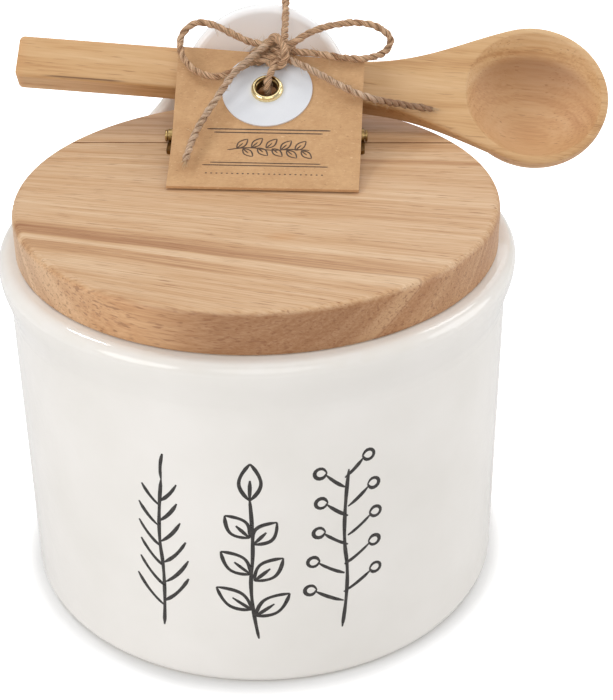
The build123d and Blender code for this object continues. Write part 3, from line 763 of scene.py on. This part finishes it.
class Twine:
    """Strands of twisted twine and loose fibres in one mesh, with sizes in millimetres."""

    def __init__(self, seed):
        self.draw = random.Random(seed)
        self.verts = []
        self.faces = []
        self.uvs = []

    def strand(self, line, radius=STRAND_R, phase=0.0, taper=(0.5, 0.5), narrow=0.55):
        """Two plies round a line, which narrow over a taper's length at either end."""
        line = respaced(line, RING_STEP * MM)
        frames = carried_frames(line)
        start = len(self.verts)
        step = length_of(line) / MM / (len(line) - 1)
        total = step * (len(line) - 1)
        waves = [(self.draw.uniform(*SWELL_EVERY), self.draw.uniform(*ANY_PHASE)) for _ in range(3)]
        for i, (point, (side, above, _)) in enumerate(zip(line, frames)):
            far = i * step
            swell = 1 + SWELL * sum(
                math.sin(2 * math.pi * far / span + shift) for span, shift in waves
            )
            for room, left in zip(taper, (far, total - far)):
                share = min(left / room, 1)
                swell *= narrow + (1 - narrow) * math.sqrt(max(share * (2 - share), 0))
            twist = phase + 2 * math.pi * far / PITCH
            for k in range(SIDES):
                part = (k * PLIES / SIDES) % 1
                hump = math.sqrt(max(1 - (2 * part - 1) ** 2, 0))
                ply = k * PLIES // SIDES
                lump = 1 + LUMP * math.sin(
                    2 * math.pi * far / LUMP_EVERY + LUMP_SHIFT * ply + waves[0][1]
                )
                r = radius * swell * lump * (1 - GROOVE * (1 - hump))
                a = twist + 2 * math.pi * k / SIDES
                self.verts.append(point + (side * math.cos(a) + above * math.sin(a)) * r * MM)
        for i in range(len(line) - 1):
            for k in range(SIDES):
                a = start + i * SIDES + k
                b = start + i * SIDES + (k + 1) % SIDES
                self.faces.append((a, b, b + SIDES, a + SIDES))
                u0, u1 = i * step, (i + 1) * step
                v0, v1 = k / SIDES, (k + 1) / SIDES
                self.uvs.extend(((u0, v0), (u0, v1), (u1, v1), (u1, v0)))
        for first, order in ((start, -1), (start + (len(line) - 1) * SIDES, 1)):
            self.faces.append(tuple(first + k for k in range(SIDES))[::order])
            self.uvs.extend((0.0, k / SIDES) for k in range(SIDES))

    def fibre(self, root, aim, length, radius, curl):
        """One loose fibre that leaves a root towards an aim and bends by a curl."""
        aim = aim.normalized()
        bend = aim.orthogonal().normalized()
        bend.rotate(Matrix.Rotation(self.draw.uniform(0, 2 * math.pi), 3, aim))
        line = [root]
        for _ in range(FIBRE_KNOTS - 1):
            aim = (aim + bend * curl).normalized()
            line.append(line[-1] + aim * length * MM / (FIBRE_KNOTS - 1))
        start = len(self.verts)
        for i, (point, (side, above, _)) in enumerate(zip(line, carried_frames(line))):
            r = radius * (1 - FIBRE_TAPER * i / (FIBRE_KNOTS - 1)) * MM
            for k in range(FIBRE_SIDES):
                a = 2 * math.pi * k / FIBRE_SIDES
                self.verts.append(point + (side * math.cos(a) + above * math.sin(a)) * r)
        for i in range(FIBRE_KNOTS - 1):
            for k in range(FIBRE_SIDES):
                a = start + i * FIBRE_SIDES + k
                b = start + i * FIBRE_SIDES + (k + 1) % FIBRE_SIDES
                self.faces.append((a, b, b + FIBRE_SIDES, a + FIBRE_SIDES))
        end = start + (FIBRE_KNOTS - 1) * FIBRE_SIDES
        self.faces.append(tuple(start + k for k in reversed(range(FIBRE_SIDES))))
        self.faces.append(tuple(end + k for k in range(FIBRE_SIDES)))

    def fuzz(self, line, count):
        """Loose fibres that stand off a strand along its whole length."""
        line = respaced(line, FUZZ_STEP * MM)
        frames = carried_frames(line)
        for _ in range(count):
            i = self.draw.randrange(1, len(line) - 1)
            side, above, ahead = frames[i]
            a = self.draw.uniform(0, 2 * math.pi)
            outward = side * math.cos(a) + above * math.sin(a)
            lean = self.draw.choice((-1, 1)) * self.draw.uniform(*FUZZ_LEAN)
            self.fibre(
                line[i] + outward * FUZZ_STRAND_R * FUZZ_ROOT * MM, outward + ahead * lean,
                self.draw.uniform(*FUZZ_REACH), self.draw.uniform(*FUZZ_R),
                self.draw.uniform(*FUZZ_CURL),
            )

    def fray(self, line, count, reach, spread):
        """The loose fibres that fan out of a cut end."""
        ahead = (line[-1] - line[-4]).normalized()
        side = ahead.orthogonal().normalized()
        above = ahead.cross(side)
        for _ in range(count):
            a = self.draw.uniform(0, 2 * math.pi)
            r = FRAY_ROOT_R * math.sqrt(self.draw.uniform(0, 1))
            outward = side * math.cos(a) + above * math.sin(a)
            self.fibre(
                line[-1] + outward * r * MM - ahead * self.draw.uniform(*FRAY_BACK) * MM,
                ahead + outward * self.draw.uniform(0, spread),
                self.draw.uniform(*reach), self.draw.uniform(*FRAY_R),
                self.draw.uniform(*FRAY_CURL),
            )

    def piece(self, name, material, body):
        """The gathered mesh as a piece, with a map along its strands if it has any."""
        made = new_piece(name, self.verts, self.faces, material, body)
        if self.uvs:
            layer = made.data.uv_layers.new(name="along")
            for loop, uv in zip(layer.data, self.uvs):
                loop.uv = uv
        return made


LOOP_TAPER = 0.3
TAIL_TAPER = 2.4
KNOT_R = 0.86
TIE_R = 0.8
WRAP_R = 0.84
KNOT_TAPER = 0.4
BACK_END_TAPER = 1.6
KNOT_TURN = 1.3
BACK_KNOT_TURN = 0.9
CORD_FUZZ, KNOT_FUZZ, TIE_FUZZ, WRAP_FUZZ = 120, 16, 24, 90
TAIL_FRAY = {"count": 16, "reach": (1.2, 2.6), "spread": 0.22}
BACK_FRAY = {"count": 12, "reach": (1.0, 2.0), "spread": 0.3}
CORD_SEED = 11
FUZZ_SEED, WRAP_FUZZ_SEED = 5, 6
KNOT_SEED, TIE_SEED, HANGER_SEED, WRAP_SEED, BACK_KNOT_SEED = 21, 22, 23, 24, 25


def build_bow(strand, left_tail, right_tail, fibre):
    """The bow's loops, tails and knot, and the tie through the eyelet."""
    fuzz = Twine(FUZZ_SEED)
    for i, (node, route, phase, material, end) in enumerate((
        ("bow_loop_left", LOOP_LEFT, 0.3, strand, LOOP_TAPER),
        ("bow_loop_right", LOOP_RIGHT, 1.1, strand, LOOP_TAPER),
        ("bow_tail_left", TAIL_LEFT, 0.8, left_tail, TAIL_TAPER),
        ("bow_tail_right", TAIL_RIGHT, 2.0, right_tail, TAIL_TAPER),
    )):
        line = smooth_line(node, route)
        twine = Twine(CORD_SEED + i)
        twine.strand(line, phase=phase, taper=(LOOP_TAPER, end), narrow=0.5)
        piece = twine.piece(node + "_rope", material, "tag")
        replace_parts(piece, node)
        length_of(line)
        fuzz.fuzz(line, CORD_FUZZ)
        if "tail" in node:
            fuzz.fray(line, **TAIL_FRAY)
    knot = Twine(KNOT_SEED)
    for i, route in enumerate(KNOT_STRANDS):
        line = smooth_line("knot", [on_card(*p) for p in route])
        knot.strand(line, radius=KNOT_R, phase=i * KNOT_TURN, taper=(KNOT_TAPER, KNOT_TAPER))
        fuzz.fuzz(line, KNOT_FUZZ)
    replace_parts(knot.piece("bow_knot_strands", strand, "tag"), "bow_knot")
    tie = Twine(TIE_SEED)
    line = smooth_line("tie", [on_card(*p) for p in TIE_ON_CARD])
    tie.strand(line, radius=TIE_R, phase=0.4)
    fuzz.fuzz(line, TIE_FUZZ)
    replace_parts(tie.piece("tag_tie_rope", strand, "tag"), "tag_tie")
    fuzz.piece("twine_fuzz", fibre, "tag")


def build_hanger(strand):
    """The twine from the bow over the tab's top, left on no body."""
    hanger = Twine(HANGER_SEED)
    line = smooth_line("hanger", HANGER + [WRAP[0]])
    hanger.strand(line, radius=TIE_R, phase=1.0, taper=(KNOT_TAPER, 1.0))
    hanger = hanger.piece("bow_hanger_rope", strand, None)
    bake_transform(hanger)
    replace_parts(hanger, "bow_hanger")


def build_wrap(strand, fibre):
    """The twine round the spoon's handle, and its knot behind the tab."""
    fuzz = Twine(WRAP_FUZZ_SEED)
    wrap = Twine(WRAP_SEED)
    line = smooth_line("wrap", WRAP)
    wrap.strand(line, radius=WRAP_R, phase=0.2)
    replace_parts(wrap.piece("spoon_wrap_rope", strand, "jar"), "spoon_wrap")
    fuzz.fuzz(line, WRAP_FUZZ)
    back = Twine(BACK_KNOT_SEED)
    for i, route in enumerate(BACK_KNOT_STRANDS):
        line = smooth_line("back_knot", route)
        end = BACK_END_TAPER if route is BACK_KNOT_STRANDS[-1] else KNOT_TAPER
        back.strand(line, radius=KNOT_R, phase=i * BACK_KNOT_TURN, taper=(KNOT_TAPER, end))
        fuzz.fuzz(line, KNOT_FUZZ)
    fuzz.fray(line, **BACK_FRAY)
    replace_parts(back.piece("wrap_knot_strands", strand, "jar"), "wrap_knot")
    fuzz.piece("wrap_fuzz", fibre, "jar")


# ---------------------------------------------------------------- drawn lines
# How wide a stroke is at its tip and on its flat top, as parts of its width, and how
# often its width wavers.
STROKE_TIP = 0.45
STROKE_FLAT = 0.6
WOBBLE = 0.8
# Where a leaf's edge bulges, as parts of its length and half width, and how long its rib is.
LEAF_BULGES = ((0.28, 1.25), (0.7, 1.1))
LEAF_RIB = 0.55


class Drawing:
    """Thin raised lines laid on a surface, gathered in one mesh of closed strokes."""

    def __init__(self, lay, seed):
        self.lay = lay
        self.draw = random.Random(seed)
        self.verts = []
        self.faces = []

    def line(self, points, width, rise, sink, uneven, tip, step=0.5):
        """A stroke through points, each across and up, with rounded thinner ends."""
        curve = [Vector((*point, 0)) for point in points]
        if len(points) > 2:
            route = [(*point, 0) for point in points]
            curve = [p / MM for p in smooth_line("stroke", route, steps=STROKE_STEPS)]
        curve = respaced(curve, step)
        shift = self.draw.uniform(*ANY_PHASE)
        section = (
            (-1, -sink), (-1, 0.0), (-STROKE_FLAT, rise), (STROKE_FLAT, rise), (1, 0.0), (1, -sink),
        )
        start = len(self.verts)
        last = len(curve) - 1
        far = length_of(curve) / last
        for i, point in enumerate(curve):
            ahead = (curve[min(i + 1, last)] - curve[max(i - 1, 0)]).normalized()
            side = Vector((-ahead.y, ahead.x, 0))
            reach = min(i, last - i) * far
            swell = min(1.0, STROKE_TIP + (1 - STROKE_TIP) * reach / tip)
            half = width / 2 * swell * (1 + uneven * math.sin(WOBBLE * i * far + shift))
            for across, out in section:
                place = point + side * half * across
                self.verts.append(self.lay(place.x, place.y, out) * MM)
        ring = len(section)
        for i in range(last):
            for k in range(ring):
                a = start + i * ring + k
                b = start + i * ring + (k + 1) % ring
                self.faces.append((a, a + ring, b + ring, b))
        self.faces.append(tuple(start + k for k in range(ring)))
        self.faces.append(tuple(start + last * ring + k for k in reversed(range(ring))))

    def leaf(self, foot, turn, length, half, **stroke):
        """The outline of a pointed leaf, with a short rib."""
        ahead = Vector((math.cos(turn), math.sin(turn)))
        side = Vector((-ahead.y, ahead.x))
        foot = Vector(foot)
        for way in (1, -1):
            edge = [
                foot + ahead * length * part + side * half * way * wide
                for part, wide in LEAF_BULGES
            ]
            self.line([foot, *edge, foot + ahead * length], **stroke)
        self.line([foot, foot + ahead * length * LEAF_RIB], **stroke)


def on_jar(across, up, out):
    """A point on the jar's wall, given round it from the front, up it and out from it."""
    turn = across / BODY_R
    r = BODY_R + out
    return Vector((r * math.sin(turn), -r * math.cos(turn), up))


JAR_PEN = {"width": 0.76, "rise": 0.045, "sink": 0.03, "uneven": 0.12, "tip": 1.4}
TAG_PEN = {"width": 0.34, "rise": 0.03, "sink": 0.03, "uneven": 0.06, "tip": 0.5, "step": 0.4}
DOT_PEN = {**TAG_PEN, "width": 0.42, "tip": 0.2, "step": 0.2}
JAR_ART_SEED, TAG_ART_SEED = 31, 32


def needle_sprig(art):
    """The left sprig: a stem with six pairs of bent needles."""
    art.line([(-18.6, 13.4), (-17.6, 26.0), (-18.8, 38.0), (-17.2, 50.0)], **JAR_PEN)
    for i in range(6):
        up = 18.5 + i * 5.0
        reach = 6.6 - i * 0.45
        for way in (1, -1):
            foot = (-18.0 + 0.4 * math.sin(up * 0.3), up + (1.2 if way > 0 else 0))
            art.line([
                foot, (foot[0] + way * reach * 0.5, foot[1] + reach * 0.35),
                (foot[0] + way * reach * 0.85, foot[1] + reach * 1.05),
            ], **JAR_PEN)
    art.line([(-17.2, 50.0), (-17.5, 53.0), (-16.6, 56.0)], **JAR_PEN)


def leaf_sprig(art):
    """The middle sprig: three pairs of leaves and one at the top."""
    art.line([(1.2, 12.6), (-0.6, 24.0), (0.9, 36.0), (0.2, 47.5)], **JAR_PEN)
    for i, up in enumerate((18.5, 27.5, 36.5)):
        for way in (1, -1):
            turn = math.radians(90 - way * (52 - 5 * i))
            foot = (0.3 + 0.35 * way, up + 1.6 * (way < 0))
            art.leaf(foot, turn, 8.8 - 0.9 * i, 1.75, **JAR_PEN)
    art.leaf((0.2, 47.0), math.radians(88), 8.6, 1.8, **JAR_PEN)


def berry_sprig(art):
    """The right sprig: five pairs of stalks with a round berry each."""
    art.line([(18.4, 13.2), (20.0, 25.0), (18.2, 38.0), (19.6, 52.0)], **JAR_PEN)
    for i in range(5):
        up = 20.0 + i * 7.0
        for way in (1, -1):
            foot = Vector((19.1 + 0.5 * math.sin(up * 0.21), up + (2.2 if way > 0 else 0)))
            tip = foot + Vector((way * (5.8 - 0.5 * i), 3.6))
            art.line([foot, (foot + tip) / 2 + Vector((0, -0.5)), tip], **JAR_PEN)
            first = math.pi * (0.5 - 0.5 * way) + math.pi
            turns = [first + 2 * math.pi * k / 8 for k in range(9)]
            middle = Vector((way * 1.1, 0.5))
            art.line([
                tip + Vector((math.cos(a), math.sin(a))) * 1.25 + middle for a in turns
            ], **JAR_PEN)


def jar_motif():
    """Three slim sprigs in brushed line, each of its own kind."""
    art = Drawing(on_jar, JAR_ART_SEED)
    needle_sprig(art)
    leaf_sprig(art)
    berry_sprig(art)
    black = ink("jar_ink", srgb(44, 40, 38), srgb(72, 66, 61))
    new_piece("jar_sprigs", art.verts, art.faces, black, "jar", smooth=False)


def tag_motif():
    """A small sprig between thin rules, with a row of dots under it."""
    art = Drawing(on_card, TAG_ART_SEED)
    for up, half in ((18.2, 13.2), (17.3, 11.6), (8.2, 11.6), (7.3, 13.2)):
        art.line([(-half, up), (half, up)], **TAG_PEN)
    art.line([(-8.4, 12.2), (-4.0, 13.4), (1.0, 12.1), (5.2, 12.9), (9.0, 12.5)], **TAG_PEN)
    for i in range(5):
        x = -6.4 + 3.1 * i
        base = 12.75 + 0.35 * math.sin(1.3 * i)
        art.leaf((x, base), math.radians(52), 3.5, 0.72, **TAG_PEN)
        art.leaf((x + 1.3, base - 0.1), math.radians(-46), 3.3, 0.7, **TAG_PEN)
    for k in range(23):
        x = -12.1 + 1.1 * k
        art.line([(x - 0.22, 4.6), (x + 0.22, 4.6)], **DOT_PEN)
    brown = ink("tag_ink", srgb(78, 56, 40), srgb(104, 78, 56))
    new_piece("tag_print", art.verts, art.faces, brown, "tag", smooth=False)


# ---------------------------------------------------------------- light and stage
FLOOR_HALF = 3.0
FLOOR_GREY = (0.8, 0.8, 0.8, 1)
WHITE = (1, 1, 1, 1)
# The camera sees the world at a strength of 1, and the object is lit by it at this one.
DOME = 0.43
# The camera sees the floor glow, weakly under the object and at a strength of 1 from
# the second of these distances from the jar's axis, in millimetres, which leaves a ring of painted
# shade round the jar's foot.
FLOOR_GLOW = 0.08
GLOW_FROM_TO = (51.0, 62.0)
LOOK_AT = (0.0, 0.0, 0.06)
# Each lamp: its name, place, aim, width in metres and power in watts.
LIGHTS = [
    ("key", (-0.5, 0.35, 0.88), LOOK_AT, 0.2, 1.5),
    ("right_high", (0.52, 0.48, 0.84), LOOK_AT, 0.3, 0.9),
    ("top", (0.0, 0.0, 1.2), LOOK_AT, 0.9, 1.8),
    ("front", (0.1, -1.0, 0.8), LOOK_AT, 0.9, 2.8),
    ("left_front", (-0.8, -0.7, 0.5), LOOK_AT, 0.7, 4.2),
    ("right", (1.0, 0.1, 0.4), LOOK_AT, 0.7, 3.2),
    ("back", (0.2, 1.0, 0.7), LOOK_AT, 0.8, 1.6),
]


def add_light(name, place, aim, size, power):
    data = bpy.data.lights.new(name, "AREA")
    data.shape = "DISK"
    data.size = size
    data.energy = power
    light = bpy.data.objects.new(name, data)
    light.location = place
    direction = Vector(aim) - Vector(place)
    light.rotation_euler = direction.to_track_quat("-Z", "Y").to_euler()
    bpy.context.scene.collection.objects.link(light)


def floor_material():
    """Grey paper that keeps the object's shadow close by, with a ring of painted shade round the
    jar, and is plain white further out.
    """
    s = Shade("floor")
    x, y, _ = s.axes(s.place())
    away = (x * x + y * y) ** 0.5
    seen = Amount(s, s.node("ShaderNodeLightPath").outputs["Is Camera Ray"])
    # Less glow close to the jar: a ring of painted shade round its foot.
    glow = away.fit(*GLOW_FROM_TO, FLOOR_GLOW, 1.0, smooth=True) * seen
    return s.finish(
        Base_Color=FLOOR_GREY, Roughness=0.9, Emission_Color=WHITE, Emission_Strength=glow,
    )


def add_floor():
    mesh = bpy.data.meshes.new("floor")
    corners = [(x * FLOOR_HALF, y * FLOOR_HALF, 0) for x, y in ((-1, -1), (1, -1), (1, 1), (-1, 1))]
    mesh.from_pydata(corners, [], [(0, 1, 2, 3)])
    mesh.materials.append(floor_material())
    floor = bpy.data.objects.new("floor", mesh)
    bpy.context.scene.collection.objects.link(floor)


def add_world():
    """A white world that lights the object less than it shows to the camera."""
    world = bpy.data.worlds.new("world")
    world.use_nodes = True
    tree = world.node_tree
    back = tree.nodes["Background"]
    back.inputs["Color"].default_value = WHITE
    level = tree.nodes.new("ShaderNodeMapRange")
    tree.links.new(
        tree.nodes.new("ShaderNodeLightPath").outputs["Is Camera Ray"], level.inputs["Value"]
    )
    level.inputs["To Min"].default_value = DOME
    level.inputs["To Max"].default_value = 1.0
    tree.links.new(level.outputs[0], back.inputs["Strength"])
    bpy.context.scene.world = world


add_camera()
paint(glaze(), "jar")
paint(lid_wood(), "lid_rear", "lid_flap")
paint(spoon_wood(), "spoon")
paint(kraft(), "tag_card")
paint(disc_paper(), "tag_disc")
paint(eyelet_brass(), "tag_eyelet")
paint(hinge_brass(), "hinge_rear_leaf", "hinge_front_leaf", "hinge_pin")
paint(screw_brass(), "rear_leaf_screws", "front_leaf_screws")

twisted = jute("jute", srgb(248, 210, 172), srgb(212, 166, 126), srgb(140, 95, 64))
tail_colours = srgb(246, 218, 190), srgb(222, 184, 150), srgb(156, 112, 80)
left_twisted = jute("jute_left_tail", *tail_colours)
right_twisted = jute("jute_right_tail", *tail_colours, shade_from=18.0)
fibre = fuzz_fibre()
build_bow(twisted, left_twisted, right_twisted, fibre)
build_hanger(twisted)
build_wrap(twisted, fibre)
jar_motif()
tag_motif()

add_floor()
add_world()
bpy.context.scene.view_settings.view_transform = "Standard"
for lamp in LIGHTS:
    add_light(*lamp)
